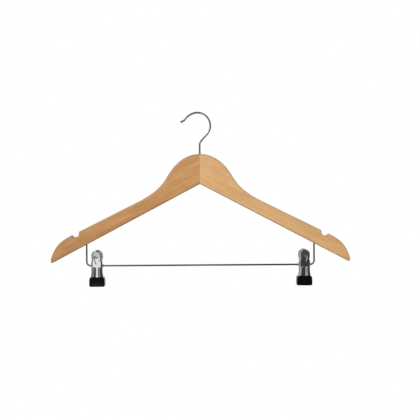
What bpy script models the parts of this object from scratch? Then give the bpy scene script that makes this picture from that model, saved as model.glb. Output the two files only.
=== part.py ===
"""A wooden clothes hanger with a swivel hook, a trouser bar and two sprung clips.

Two boards meet in a glued comb joint at the neck. A bent wire hook turns in a bore through
that joint, held by a nut and a washer in a counterbore. A wire bar hangs below the boards
and carries two pressed steel clips, each with rubber pads and a torsion spring.

Lengths are in metres, +Z is up and the front faces -Y. The origin is on the hook's swivel
axis, at the inner face of the hook, where a rail carries it.
"""

import math

import bmesh
import bpy
from mathutils import Vector

# Clearances
GAP = 0.0003                 # between pieces that touch, and along the glue line
OVERRUN = 0.002              # how far a cut runs past the surface it opens

# Boards
SPAN = 0.445                 # tip to tip
BOARD_THICK = 0.012          # front to back
EDGE_ROUND = 0.0025          # rounding along the boards' front and back edges
UNDERSIDE_ANGLE = math.radians(27.8)
SHOULDER_ANGLE = math.radians(26.4)
NECK_HEIGHT = 0.0446         # crown of the neck above the underside's apex
SHOULDER_LEVEL = 0.0197      # height at which the shoulder line would meet the middle
NECK_TURN_X = 0.0500         # where the neck's outline stops curving down and curves out
NECK_TURN_HEIGHT = 0.0088
NECK_TURN_ANGLE = math.radians(58.5)
SHOULDER_START_X = 0.1015    # where the shoulder becomes straight
CROWN_PULL = 0.0304          # curve handles along the neck, from the crown outwards
NECK_PULL_IN = 0.0087
NECK_PULL_OUT = 0.0253
SHOULDER_PULL = 0.0194

# Shoulder notches and tips
NOTCH_INSET = 0.0367         # notch centre, in from the tip
NOTCH_RADIUS = 0.0055
TIP_LENGTH = 0.0296          # length of the curved end, in from the tip
TIP_NOSE = 0.0062            # upright end face of the tip
TIP_ANGLE = math.radians(74.8)
TIP_PULL_IN = 0.0150
TIP_PULL_OUT = 0.0207
TIP_ROUND = 0.0018
LEAST_ROUND = 0.0004         # of a corner on an outline that is moved further in

# Comb joint at the neck
TONGUE_LENGTH = 0.0080
TONGUE_THICK = 0.0030

# Hook
WIRE_RADIUS = 0.0015
BIGHT_RADIUS = 0.0194        # to the wire's centre line
BIGHT_OFFSET = -0.0033       # bight centre, to the left of the swivel axis
BIGHT_HEIGHT = 0.0870        # bight centre above the underside's apex
LEAN_ANGLE = math.radians(42)
LEAN_BEND_RADIUS = 0.0075
BIGHT_TURN = math.radians(147)
OUTER_BEND_RADIUS = 0.0240   # the bight opens out towards its tip
OUTER_BEND_TURN = math.radians(40)
TIP_BEND_RADIUS = 0.0070
TIP_BEND_TURN = math.radians(35)
BUTTON_RADIUS = 0.0021       # upset head on the hook's tip
BUTTON_THICK = 0.0026
BUTTON_NECK = 0.0010         # straight wire before the head
SHANK_STANDOUT = 0.0006      # shank end below the underside's apex

# Nut and washer in the neck
NUT_ACROSS_FLATS = 0.0055
NUT_THICK = 0.0024
NUT_SINK = 0.0008            # underside of the nut above the underside's apex
WASHER_RADIUS = 0.0034
WASHER_THICK = 0.0005

# Trouser bar
BAR_RADIUS = 0.0013
BAR_DROP = 0.1209            # bar's centre line below the underside's apex
BAR_INSET = 0.0530           # upturned ends, in from the tips
BAR_BEND_RADIUS = 0.0060
BAR_SEAT = 0.0120            # length of each end inside its board

# Clips, measured from the bar's centre line
LEFT_CLIP_INSET = 0.0156     # clip's centre, in from the bar's upturned end
RIGHT_CLIP_INSET = 0.0150
TAB_TOP = 0.0232
TAB_RADIUS = 0.0082
TAB_NECK = 0.0076            # half width where the tab is narrowest, above the ears
JAW_DROP = 0.0294
SHEET = 0.0008
FRONT_WAIST = 0.0085         # half width at the ears, outer faces
TIP_HALF_WIDTH = 0.0100
FACE_AT_TAB = 0.0105         # outer face of the sheet, out from the clip's middle plane
FACE_AT_PIVOT = 0.0066
FACE_AT_TIP = 0.0040
SHOULDER_ROUND = 0.0026
RIM_DEPTH = 0.0027
FLANK_DEPTH = 0.0045
EAR_RADIUS = 0.0040
RIB_HEIGHT = 0.0010
DISH_DEPTH = 0.0004
DISH_RADIUS = 0.0054
DISH_HEIGHT = 0.0100

# Heights that the sheet's width and depth follow, as shares of the tab's or the jaw's height
WAIST_TOP_SHARE = 0.20
TAB_NECK_SHARE = 0.36
WAIST_LOW_SHARE = 0.27
FLARE_END_SHARE = 0.70
UPPER_HEIGHT_SHARES = (0.52, 0.36, 0.27, 0.196)
LOWER_HEIGHT_SHARES = (0.157, 0.27, 0.40, 0.50)
TAB_CURVE_SHARE = 0.35
JAW_CURVE_SHARE = 0.22
RIB_START_SHARE = 0.06
RIB_FULL_SHARE = 0.14
FACE_COLUMN_SHARES = (-1.0, -0.875, -0.75, -0.54, -0.33, 0.0, 0.33, 0.54, 0.75, 0.875, 1.0)
RIB_CENTRE_SHARE = 0.75
RIB_INNER_SHARE = 0.42
RIB_OUTER_SHARE = 0.25

# Rubber pads
PAD_HEIGHT = 0.0139
PAD_DROP = 0.0309            # lower edge of the pads below the bar
PAD_HALF_WIDTH = 0.0115
PAD_TOP_HALF_WIDTH = 0.0108
PAD_WIDEST_SHARE = 0.38
PAD_FACE = 0.0070            # front of the pad, out from the clip's middle plane
PAD_CORNER = 0.0023
PAD_TOP_CORNER = 0.0013
PAD_EDGE = 0.0008
PAD_GRIP_EDGE = 0.0004

# Hollow rivet and spring
TUBE_WALL = 0.0005
TUBE_FLANGE = 0.0009         # how far the rivet's ends are flared past its tube
TUBE_FLANGE_THICK = 0.0004
SPRING_RADIUS = 0.0005
SPRING_PITCH = 0.0015
SPRING_FULL_TURNS = 5
SPRING_REST_HEIGHT = 0.0115  # where the legs press on the tabs

# Facets
WIRE_ROUND_STEPS = 3         # quarter steps round a wire, fewer on the thin ones
BAR_ROUND_STEPS = 2
SPRING_ROUND_STEPS = 1
BUTTON_STEPS = 6
COIL_POINTS = 9
HOLE_SIDES = 16
NUT_SIDES = 6
EDGE_STEPS = 3
NECK_STEPS = 12
SHOULDER_STEPS = 8
NOTCH_STEPS = 10
TIP_STEPS = 9
TIP_CORNER_STEPS = 4
TAB_STEPS = 4
EAR_STEPS = 6
SHEET_BEND_STEPS = 3
PAD_CORNER_STEPS = 3
MERGE_SHARE = 0.001          # points closer than this share of the gap are one
BEND_ANGLE = math.radians(9)
SHARP_ANGLE = math.radians(35)

HALF_SPAN = SPAN / 2
APEX_Z = -(BIGHT_HEIGHT + math.sqrt((BIGHT_RADIUS - WIRE_RADIUS) ** 2 - BIGHT_OFFSET ** 2))
BAR_X = HALF_SPAN - BAR_INSET
BAR_Z = APEX_Z - BAR_DROP
LEFT_CLIP_X = LEFT_CLIP_INSET - BAR_X
RIGHT_CLIP_X = BAR_X - RIGHT_CLIP_INSET
BACK_WAIST = FRONT_WAIST - SHEET - GAP
TUBE_RADIUS = BAR_RADIUS + GAP + TUBE_WALL


def clear_scene():
    """Removes whatever the scene holds."""
    for item in list(bpy.data.objects):
        bpy.data.objects.remove(item, do_unlink=True)


def material(name, colour, roughness, metallic):
    """Makes a plain surface of one colour."""
    surface = bpy.data.materials.new(name)
    surface.use_nodes = True
    shader = surface.node_tree.nodes["Principled BSDF"]
    shader.inputs["Base Color"].default_value = (*colour, 1.0)
    shader.inputs["Roughness"].default_value = roughness
    shader.inputs["Metallic"].default_value = metallic
    surface.diffuse_color = (*colour, 1.0)
    return surface


def place(name, data, surface=None, parent=None):
    """Adds mesh or curve data to the scene as a named object."""
    thing = bpy.data.objects.new(name, data)
    bpy.context.scene.collection.objects.link(thing)
    if surface:
        data.materials.append(surface)
    thing.parent = parent
    return thing


def axis_empty(name, location):
    """Adds an empty on a joint's axis, for the pieces that move about it."""
    empty = bpy.data.objects.new(name, None)
    bpy.context.scene.collection.objects.link(empty)
    empty.location = location
    return empty


def finish_mesh(name, shape):
    """Turns a bmesh into mesh data with outward faces and smooth round surfaces."""
    bmesh.ops.recalc_face_normals(shape, faces=shape.faces)
    mesh = bpy.data.meshes.new(name)
    shape.to_mesh(mesh)
    shape.free()
    mesh.shade_smooth()
    mesh.set_sharp_from_angle(angle=SHARP_ANGLE)
    return mesh


def ring_solid(name, rings):
    """Closed mesh through rings of equally many points, with a flat cap at each end."""
    shape = bmesh.new()
    loops = [[shape.verts.new(point) for point in ring] for ring in rings]
    count = len(loops[0])
    for first, second in zip(loops, loops[1:]):
        for i in range(count):
            j = (i + 1) % count
            shape.faces.new((first[i], first[j], second[j], second[i]))
    shape.faces.new(loops[0])
    shape.faces.new(loops[-1])
    return finish_mesh(name, shape)


def turned_solid(name, profile, sides, along_x=False):
    """Solid of revolution about Z or X, from (position along the axis, radius) pairs."""
    rings = []
    for position, radius in profile:
        ring = []
        for i in range(sides):
            turn = 2 * math.pi * (i + 0.5) / sides
            a = radius * math.cos(turn)
            b = radius * math.sin(turn)
            ring.append((position, a, b) if along_x else (a, b, position))
        rings.append(ring)
    return ring_solid(name, rings)


def cutter(name, mesh, parent=None):
    """Adds a shape that only cuts others."""
    thing = place(name, mesh, parent=parent)
    thing.hide_render = True
    thing.display_type = 'WIRE'
    return thing


def combine(thing, other, operation='DIFFERENCE'):
    """Cuts one solid with another, or keeps only what they share."""
    step = thing.modifiers.new(other.name, 'BOOLEAN')
    step.operation = operation
    step.object = other


def wire(name, points, radius, round_steps, surface, radii=None, parent=None):
    """Round wire with filled ends along a list of points."""
    data = bpy.data.curves.new(name, 'CURVE')
    data.dimensions = '3D'
    data.bevel_depth = radius
    data.bevel_resolution = round_steps
    data.use_fill_caps = True
    spline = data.splines.new('POLY')
    spline.points.add(len(points) - 1)
    for i, point in enumerate(points):
        spline.points[i].co = (*point, 1.0)
        spline.points[i].radius = radii[i] if radii else 1.0
    return place(name, data, surface, parent)


def smooth_step(value, start, end):
    """Rises from 0 at start to 1 at end, level at both."""
    t = min(max((value - start) / (end - start), 0.0), 1.0)
    return t * t * (3 - 2 * t)


class Path:
    """A line in the XZ plane, drawn by straight runs and round bends."""

    def __init__(self, x, z, heading):
        self.points = [(x, z)]
        self.heading = heading

    def straight(self, length):
        x, z = self.points[-1]
        self.points.append((x + length * math.cos(self.heading), z + length * math.sin(self.heading)))

    def bend(self, radius, turn):
        """Turns left for a positive angle and right for a negative one."""
        x, z = self.points[-1]
        side = math.copysign(1.0, turn)
        start = self.heading - side * math.pi / 2
        centre_x = x - radius * math.cos(start)
        centre_z = z - radius * math.sin(start)
        steps = max(2, round(abs(turn) / BEND_ANGLE))
        for i in range(1, steps + 1):
            angle = start + turn * i / steps
            self.points.append((centre_x + radius * math.cos(angle), centre_z + radius * math.sin(angle)))
        self.heading += turn


def bezier(start, pull_start, pull_end, end, steps, inset):
    """Points of a Bezier curve from start to end, moved to its right by an inset."""
    points = []
    for i in range(steps + 1):
        t = i / steps
        s = 1 - t
        place_now = s ** 3 * start + 3 * s * s * t * pull_start + 3 * s * t * t * pull_end + t ** 3 * end
        along = s * s * (pull_start - start) + 2 * s * t * (pull_end - pull_start) + t * t * (end - pull_end)
        along.normalize()
        points.append(place_now + inset * Vector((along.y, -along.x)))
    return points


def rounded_corner(before, corner, after, radius, inset, steps):
    """Arc that rounds a corner of an outline, moved in and so made tighter by the inset."""
    back = (before - corner).normalized()
    ahead = (after - corner).normalized()
    middle = (back + ahead).normalized()
    half = back.angle(ahead) / 2
    tight = max(radius - inset, LEAST_ROUND)
    centre = corner + middle * ((tight + inset) / math.sin(half))
    start = back / math.tan(half) - middle / math.sin(half)
    end = ahead / math.tan(half) - middle / math.sin(half)
    points = []
    for i in range(steps + 1):
        blend = i / steps
        turn = start.angle(end)
        direction = (start * math.sin((1 - blend) * turn) + end * math.sin(blend * turn)) / math.sin(turn)
        points.append(centre + direction * tight)
    return points


def shoulder_height(x):
    """Height of the straight shoulder line above the apex."""
    return SHOULDER_LEVEL - x * math.tan(SHOULDER_ANGLE)


def underside_height(x):
    """Height of the straight underside above the apex."""
    return -x * math.tan(UNDERSIDE_ANGLE)


def notch_line(inset):
    """The notch in the shoulder: an upright inner wall, and an arc about a point on the shoulder line."""
    x = HALF_SPAN - NOTCH_INSET
    centre = Vector((x, shoulder_height(x)))
    radius = NOTCH_RADIUS + inset
    wall_top = shoulder_height(x - radius) - inset / math.cos(SHOULDER_ANGLE)
    end = 2 * math.pi - SHOULDER_ANGLE - math.asin(inset / radius)
    points = [Vector((x - radius, wall_top))]
    for i in range(NOTCH_STEPS + 1):
        turn = math.pi + (end - math.pi) * i / NOTCH_STEPS
        points.append(centre + radius * Vector((math.cos(turn), math.sin(turn))))
    return points


def half_outline(inset):
    """Right half of the boards' outline, crown to apex, moved into the wood by an inset."""
    downhill = Vector((math.cos(SHOULDER_ANGLE), -math.sin(SHOULDER_ANGLE)))
    crown = Vector((0, NECK_HEIGHT))
    turn = Vector((NECK_TURN_X, NECK_TURN_HEIGHT))
    turn_along = Vector((math.cos(NECK_TURN_ANGLE), -math.sin(NECK_TURN_ANGLE)))
    shoulder = Vector((SHOULDER_START_X, shoulder_height(SHOULDER_START_X)))
    points = bezier(crown, crown + Vector((CROWN_PULL, 0)), turn - turn_along * NECK_PULL_IN, turn,
                    NECK_STEPS, inset)
    outer = bezier(turn, turn + turn_along * NECK_PULL_OUT, shoulder - downhill * SHOULDER_PULL, shoulder,
                   SHOULDER_STEPS, inset)
    points += outer[1:]
    points += notch_line(inset)
    tip_x = HALF_SPAN - TIP_LENGTH
    tip_start = Vector((tip_x, shoulder_height(tip_x)))
    corner = Vector((HALF_SPAN, underside_height(HALF_SPAN)))
    nose = corner + Vector((0, TIP_NOSE))
    tip_along = Vector((math.cos(TIP_ANGLE), -math.sin(TIP_ANGLE)))
    points += bezier(tip_start, tip_start + downhill * TIP_PULL_IN, nose - tip_along * TIP_PULL_OUT, nose,
                     TIP_STEPS, inset)
    points += rounded_corner(nose, corner, Vector((0, 0)), TIP_ROUND, inset, TIP_CORNER_STEPS)
    points.append(Vector((0, inset / math.cos(UNDERSIDE_ANGLE))))
    return points


def boards_mesh(name):
    """Both boards as one body with rounded front and back edges."""
    half_thick = BOARD_THICK / 2
    layers = []
    for side in (-1, 1):
        turns = [math.pi / 2 * i / EDGE_STEPS for i in range(EDGE_STEPS + 1)]
        edge = [(side * (half_thick - EDGE_ROUND * (1 - math.sin(t))), EDGE_ROUND * (1 - math.cos(t)))
                for t in turns]
        layers += reversed(edge) if side < 0 else edge
    rings = []
    for y, inset in layers:
        right = half_outline(inset)
        left = [Vector((-p.x, p.y)) for p in reversed(right[1:-1])]
        rings.append([(p.x, y, APEX_Z + p.y) for p in right + left])
    return ring_solid(name, rings)


def comb_mask(name, side):
    """Block that holds one board: its half, with a tongue across the neck and a groove in it."""
    reach = HALF_SPAN + OVERRUN
    deep = BOARD_THICK / 2 + OVERRUN
    plan = [(-reach, -deep), (-GAP / 2, -deep), (-GAP / 2, -TONGUE_THICK), (TONGUE_LENGTH, -TONGUE_THICK),
            (TONGUE_LENGTH, -GAP / 2), (-TONGUE_LENGTH - GAP, -GAP / 2),
            (-TONGUE_LENGTH - GAP, TONGUE_THICK + GAP), (-GAP / 2, TONGUE_THICK + GAP), (-GAP / 2, deep),
            (-reach, deep)]
    low = APEX_Z + underside_height(HALF_SPAN) - OVERRUN
    high = APEX_Z + NECK_HEIGHT + OVERRUN
    rings = [[(-side * x, -side * y, z) for x, y in plan] for z in (low, high)]
    return ring_solid(name, rings)


def build_boards(surfaces):
    """The two arms, with the shank's bore, its counterbore and a blind hole for the bar."""
    ceiling = APEX_Z + NUT_SINK + NUT_THICK + WASHER_THICK + 2 * GAP
    bore = WIRE_RADIUS + GAP
    counterbore = WASHER_RADIUS + 2 * GAP
    low = APEX_Z + underside_height(counterbore) - OVERRUN
    high = APEX_Z + NECK_HEIGHT + OVERRUN
    profile = [(low, counterbore), (ceiling, counterbore), (ceiling, bore), (high, bore)]
    drill = cutter("shank_bore", turned_solid("shank_bore", profile, HOLE_SIDES))
    for name, side in (("left_arm", -1), ("right_arm", 1)):
        arm = place(name, boards_mesh(name), surfaces[name])
        mask = cutter(name + "_half", comb_mask(name + "_half", side))
        combine(arm, mask, 'INTERSECT')
        combine(arm, drill)
        seat_low = APEX_Z + underside_height(BAR_X) - OVERRUN
        seat_high = APEX_Z + underside_height(BAR_X) + BAR_SEAT + GAP
        hole_profile = [(seat_low, BAR_RADIUS + GAP), (seat_high, BAR_RADIUS + GAP)]
        hole = cutter(name + "_bar_hole", turned_solid(name + "_bar_hole", hole_profile, HOLE_SIDES))
        hole.location.x = side * BAR_X
        combine(arm, hole)


def hook_path():
    """The hook's centre line: shank, lean, bight, and the bend that turns the tip outwards."""
    lean = math.pi / 2 - LEAN_ANGLE
    bight_start_x = BIGHT_OFFSET + BIGHT_RADIUS * math.cos(LEAN_ANGLE)
    bight_start_z = BIGHT_HEIGHT - BIGHT_RADIUS * math.sin(LEAN_ANGLE)
    corner_z = bight_start_z - bight_start_x * math.tan(lean)
    bend_reach = LEAN_BEND_RADIUS * math.tan(LEAN_ANGLE / 2)
    path = Path(0, -SHANK_STANDOUT, math.pi / 2)
    path.straight(SHANK_STANDOUT + corner_z - bend_reach)
    path.bend(LEAN_BEND_RADIUS, -LEAN_ANGLE)
    path.straight(bight_start_x / math.cos(lean) - bend_reach)
    path.bend(BIGHT_RADIUS, BIGHT_TURN)
    path.bend(OUTER_BEND_RADIUS, OUTER_BEND_TURN)
    path.bend(TIP_BEND_RADIUS, -TIP_BEND_TURN)
    path.straight(BUTTON_NECK)
    return path


def build_hook(surfaces):
    """The hook with its upset button, and the nut and washer that hold it in the neck."""
    path = hook_path()
    radii = [1.0] * len(path.points)
    for i in range(1, BUTTON_STEPS):
        turn = math.pi * i / BUTTON_STEPS
        path.straight(BUTTON_THICK / BUTTON_STEPS)
        radii.append(max(BUTTON_RADIUS * math.sqrt(math.sin(turn)), WIRE_RADIUS / 2) / WIRE_RADIUS)
    points = [(x, 0, APEX_Z + z) for x, z in path.points]
    wire("hook", points, WIRE_RADIUS, WIRE_ROUND_STEPS, surfaces["hook"], radii)

    nut_low = APEX_Z + NUT_SINK
    washer_low = nut_low + NUT_THICK + GAP
    corner_radius = NUT_ACROSS_FLATS / 2 / math.cos(math.pi / NUT_SIDES)
    nut = turned_solid("hook_nut", [(nut_low, corner_radius), (nut_low + NUT_THICK, corner_radius)],
                       NUT_SIDES)
    washer = turned_solid("hook_washer", [(washer_low, WASHER_RADIUS),
                                          (washer_low + WASHER_THICK, WASHER_RADIUS)], HOLE_SIDES)
    bore = WIRE_RADIUS + GAP
    profile = [(nut_low - OVERRUN, bore), (washer_low + WASHER_THICK + OVERRUN, bore)]
    drill = cutter("nut_bore", turned_solid("nut_bore", profile, HOLE_SIDES))
    for name, mesh in (("hook_nut", nut), ("hook_washer", washer)):
        combine(place(name, mesh, surfaces[name]), drill)


def build_bar(surfaces):
    """The trouser bar, with both ends turned up into the boards."""
    end_height = underside_height(BAR_X) + BAR_SEAT
    path = Path(-BAR_X, end_height, -math.pi / 2)
    path.straight(end_height + BAR_DROP - BAR_BEND_RADIUS)
    path.bend(BAR_BEND_RADIUS, math.pi / 2)
    path.straight(2 * (BAR_X - BAR_BEND_RADIUS))
    path.bend(BAR_BEND_RADIUS, math.pi / 2)
    path.straight(end_height + BAR_DROP - BAR_BEND_RADIUS)
    points = [(x, 0, APEX_Z + z) for x, z in path.points]
    wire("trouser_bar", points, BAR_RADIUS, BAR_ROUND_STEPS, surfaces["trouser_bar"])


def bent_rise(t, curve_share):
    """Rises from 0 to 1, straight for a share of 0 and as a parabola for a share of 1."""
    return t * (1 - curve_share + curve_share * t)


def face_out(z):
    """How far the sheet's outer face stands from the clip's middle plane at a height."""
    if z > 0:
        return FACE_AT_PIVOT + (FACE_AT_TAB - FACE_AT_PIVOT) * bent_rise(z / TAB_TOP, TAB_CURVE_SHARE)
    return FACE_AT_PIVOT - (FACE_AT_PIVOT - FACE_AT_TIP) * bent_rise(-z / JAW_DROP, JAW_CURVE_SHARE)


def half_width(z, waist):
    """Half width of the sheet below the round top of its tab."""
    neck = smooth_step(z, TAB_TOP * WAIST_TOP_SHARE, TAB_TOP * TAB_NECK_SHARE)
    tab = smooth_step(z, TAB_TOP * TAB_NECK_SHARE, TAB_TOP - TAB_RADIUS)
    flare = smooth_step(-z, JAW_DROP * WAIST_LOW_SHARE, JAW_DROP * FLARE_END_SHARE)
    upper = (TAB_NECK - waist) * neck + (TAB_RADIUS - TAB_NECK) * tab
    return waist + upper + (TIP_HALF_WIDTH - waist) * flare


def flank_depth(z):
    """How far the turned-in side of the sheet runs back from its face at a height."""
    if abs(z) < EAR_RADIUS + GAP / 2:
        return face_out(z) + math.sqrt(max(EAR_RADIUS ** 2 - z * z, 0))
    fade = smooth_step(z, EAR_RADIUS, TAB_TOP - TAB_RADIUS) + smooth_step(-z, EAR_RADIUS, JAW_DROP / 2)
    return FLANK_DEPTH + (RIM_DEPTH - FLANK_DEPTH) * fade


def face_relief(share, x, z):
    """Relief of the sheet's face: two ribs below the pivot, a shallow dish in the tab."""
    pad_top = PAD_DROP - PAD_HEIGHT
    rise = smooth_step(-z, JAW_DROP * RIB_START_SHARE, JAW_DROP * RIB_FULL_SHARE)
    fall = 1 - smooth_step(-z, pad_top - SHEET, pad_top - GAP)
    reach = RIB_OUTER_SHARE if abs(share) > RIB_CENTRE_SHARE else RIB_INNER_SHARE
    off_centre = min(abs(abs(share) - RIB_CENTRE_SHARE) / reach, 1.0)
    rib = RIB_HEIGHT * rise * fall * (1 + math.cos(math.pi * off_centre)) / 2
    off_dish = min((x * x + (z - DISH_HEIGHT) ** 2) / DISH_RADIUS ** 2, 1.0)
    return rib - DISH_DEPTH * (1 - off_dish) ** 2


def jaw_stations(waist):
    """Points of the sheet's right edge with their outward normals, tab top to jaw tip."""
    stations = []
    for i in range(TAB_STEPS + 1):
        turn = math.pi / 2 * (1 - i / TAB_STEPS)
        normal = Vector((math.cos(turn), math.sin(turn)))
        stations.append((Vector((0, TAB_TOP - TAB_RADIUS)) + TAB_RADIUS * normal, normal))
    heights = [TAB_TOP * share for share in UPPER_HEIGHT_SHARES]
    heights += [EAR_RADIUS * math.cos(math.pi * i / EAR_STEPS) for i in range(EAR_STEPS + 1)]
    heights += [-JAW_DROP * share for share in LOWER_HEIGHT_SHARES]
    pad_top = PAD_DROP - PAD_HEIGHT
    heights += [SHEET - pad_top, GAP - pad_top, -JAW_DROP]
    for z in heights:
        stations.append((Vector((half_width(z, waist), z)), Vector((1, 0))))
    return stations


def sheet_section(depth):
    """Outer and inner line of the turned-in side, as (inset from the edge, depth) pairs."""
    outer = [(0, depth), (0, SHOULDER_ROUND)]
    inner = [(SHEET, depth), (SHEET, SHOULDER_ROUND)]
    tight = SHOULDER_ROUND - SHEET
    for i in range(1, SHEET_BEND_STEPS + 1):
        turn = math.pi / 2 * i / SHEET_BEND_STEPS
        outer.append((SHOULDER_ROUND * (1 - math.cos(turn)), SHOULDER_ROUND * (1 - math.sin(turn))))
        inner.append((SHOULDER_ROUND - tight * math.cos(turn), SHOULDER_ROUND - tight * math.sin(turn)))
    return outer, inner


def jaw_mesh(name, facing, waist):
    """One pressed half of a clip: dished tab, rolled rim, two ears, two ribs and a flat tip."""
    shape = bmesh.new()
    stations = jaw_stations(waist)

    def sheet_side(inner_side):
        """Rows of points from the left flank's edge, over the face, to the right one's."""
        rows = []
        for edge, normal in stations:
            section = sheet_section(flank_depth(edge.y))[1 if inner_side else 0]
            flank = []
            for inset, depth in section:
                spot = edge - inset * normal
                flank.append((spot.x, facing * (face_out(spot.y) - depth), spot.y))
            inner_edge = edge - SHOULDER_ROUND * normal
            drop = SHEET if inner_side else 0
            face = []
            for share in FACE_COLUMN_SHARES[1:-1]:
                x = share * inner_edge.x
                out = face_out(inner_edge.y) - drop + face_relief(share, x, inner_edge.y)
                face.append((x, facing * out, inner_edge.y))
            rows.append([(-x, y, z) for x, y, z in flank] + face + list(reversed(flank)))
        return rows

    corners = {}

    def corner(point):
        """The vertex at a point, shared wherever the surface closes on itself."""
        key = tuple(round(value / (GAP * MERGE_SHARE)) for value in point)
        if key not in corners:
            corners[key] = shape.verts.new(point)
        return corners[key]

    def patch(*points):
        """Adds a face, as a triangle where two of its corners are one."""
        unique = list(dict.fromkeys(corner(point) for point in points))
        if len(unique) > 2:
            shape.faces.new(unique)

    outer = sheet_side(False)
    inner = sheet_side(True)
    for rows in (outer, inner):
        for upper, lower in zip(rows, rows[1:]):
            for i in range(len(upper) - 1):
                patch(upper[i], upper[i + 1], lower[i + 1], lower[i])
    for i in range(len(stations) - 1):
        for end in (0, -1):
            patch(outer[i][end], outer[i + 1][end], inner[i + 1][end], inner[i][end])
    for i in range(len(outer[-1]) - 1):
        patch(outer[-1][i], outer[-1][i + 1], inner[-1][i + 1], inner[-1][i])
    return finish_mesh(name, shape)


def pad_outline(inset):
    """Outline of a pad in the XZ plane: narrower at its top, round at its lower corners."""
    top = PAD_HEIGHT - PAD_DROP
    widest = top - PAD_HEIGHT * PAD_WIDEST_SHARE
    right = [(PAD_TOP_HALF_WIDTH, top, PAD_TOP_CORNER), (PAD_HALF_WIDTH, widest, PAD_HEIGHT / 2),
             (PAD_HALF_WIDTH, -PAD_DROP, PAD_CORNER)]
    left = [(-x, z, radius) for x, z, radius in reversed(right)]
    corners = right + left
    points = []
    for i, (x, z, radius) in enumerate(corners):
        before = Vector(corners[i - 1][:2])
        after = Vector(corners[(i + 1) % len(corners)][:2])
        points += rounded_corner(before, Vector((x, z)), after, radius, inset, PAD_CORNER_STEPS)
    return points


def pad_mesh(name, facing):
    """A rubber sleeve, rounded towards the outside and nearly square where the pads meet."""
    half_way = PAD_EDGE * (1 - math.cos(math.pi / 4))
    layers = [(PAD_FACE, PAD_EDGE), (PAD_FACE - half_way, half_way), (PAD_FACE - PAD_EDGE, 0),
              (GAP / 2 + PAD_GRIP_EDGE, 0), (GAP / 2, PAD_GRIP_EDGE)]
    rings = [[(p.x, facing * out, p.y) for p in pad_outline(inset)] for out, inset in layers]
    return ring_solid(name, rings)


def pocket_mesh(name, facing):
    """The pocket that a pad keeps clear round the jaw's tip."""
    wide = TIP_HALF_WIDTH + GAP
    mouth = PAD_HEIGHT - PAD_DROP
    high = mouth + OVERRUN
    rings = []
    for z, height in ((-JAW_DROP - GAP, -JAW_DROP), (mouth, mouth), (high, high)):
        near = face_out(height) - RIM_DEPTH - GAP
        far = face_out(height) + GAP
        rings.append([(-wide, facing * near, z), (wide, facing * near, z), (wide, facing * far, z),
                      (-wide, facing * far, z)])
    return ring_solid(name, rings)


def spring_path():
    """Centre line of the torsion spring: a leg, the coil round the rivet and the other leg."""
    radius = (TUBE_RADIUS + GAP + SPRING_RADIUS) / math.cos(math.pi / COIL_POINTS)
    rest_y = face_out(SPRING_REST_HEIGHT) - SHEET - 2 * GAP - SPRING_RADIUS
    reach = math.hypot(rest_y, SPRING_REST_HEIGHT)
    leave = math.atan2(rest_y, SPRING_REST_HEIGHT) + math.acos(radius / reach)
    total = 2 * math.pi * (SPRING_FULL_TURNS + 1) - 2 * leave
    half_length = SPRING_PITCH * total / (2 * math.pi) / 2
    steps = round(total / (2 * math.pi) * COIL_POINTS)
    coil = []
    for i in range(steps + 1):
        turn = -leave - total * i / steps
        x = -half_length + 2 * half_length * i / steps
        coil.append(Vector((x, radius * math.sin(turn), radius * math.cos(turn))))
    front_end = Vector((-half_length, -rest_y, SPRING_REST_HEIGHT))
    back_end = Vector((half_length, rest_y, SPRING_REST_HEIGHT))
    return [front_end] + coil + [back_end]


def least_gap(points, radius):
    """Least clear distance between neighbouring turns of a wire, measured on points of its line."""
    near_on_wire = 5 * radius
    dense = []
    for first, second in zip(points, points[1:]):
        count = max(2, round((second - first).length / radius))
        dense += [first.lerp(second, i / count) for i in range(count)]
    least = None
    for i, first in enumerate(dense):
        run = 0
        for before, second in zip(dense[i:], dense[i + 1:]):
            run += (second - before).length
            if run > near_on_wire:
                gap = (second - first).length - 2 * radius
                least = gap if least is None else min(least, gap)
    return least


def build_clip(name, x, surfaces):
    """One clip on the bar: rivet, spring, two jaws and their pads."""
    axis = axis_empty(name + "_axis", (x, 0, BAR_Z))
    flange_start = FRONT_WAIST + GAP
    flange_end = flange_start + TUBE_FLANGE_THICK
    flange = TUBE_RADIUS + TUBE_FLANGE
    profile = [(-flange_end, flange), (-flange_start, flange), (-flange_start, TUBE_RADIUS),
               (flange_start, TUBE_RADIUS), (flange_start, flange), (flange_end, flange)]
    tube_name = name + "_pivot_tube"
    tube = place(tube_name, turned_solid(tube_name, profile, HOLE_SIDES, True), surfaces["tube"], axis)
    reach = flange_end + OVERRUN
    bar_profile = [(-reach, BAR_RADIUS + GAP), (reach, BAR_RADIUS + GAP)]
    bar_bore = cutter(name + "_bar_bore", turned_solid("bar_bore", bar_profile, HOLE_SIDES, True), axis)
    combine(tube, bar_bore)

    ear_profile = [(-reach, TUBE_RADIUS + GAP), (reach, TUBE_RADIUS + GAP)]
    ear_holes = cutter(name + "_ear_holes", turned_solid("ear_holes", ear_profile, HOLE_SIDES, True), axis)
    for half, facing, waist in (("front", -1, FRONT_WAIST), ("back", 1, BACK_WAIST)):
        jaw_name = name + "_" + half + "_jaw"
        jaw = place(jaw_name, jaw_mesh(jaw_name, facing, waist), surfaces["jaw"], axis)
        combine(jaw, ear_holes)
        pad_name = name + "_" + half + "_pad"
        pad = place(pad_name, pad_mesh(pad_name, facing), surfaces["pad"], axis)
        pocket_name = pad_name + "_pocket"
        combine(pad, cutter(pocket_name, pocket_mesh(pocket_name, facing), axis))

    points = spring_path()
    wire(name + "_spring", points, SPRING_RADIUS, SPRING_ROUND_STEPS, surfaces["spring"], parent=axis)
    print(name, "spring: least gap to itself", round(least_gap(points, SPRING_RADIUS) * 1000, 3), "mm")


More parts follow.
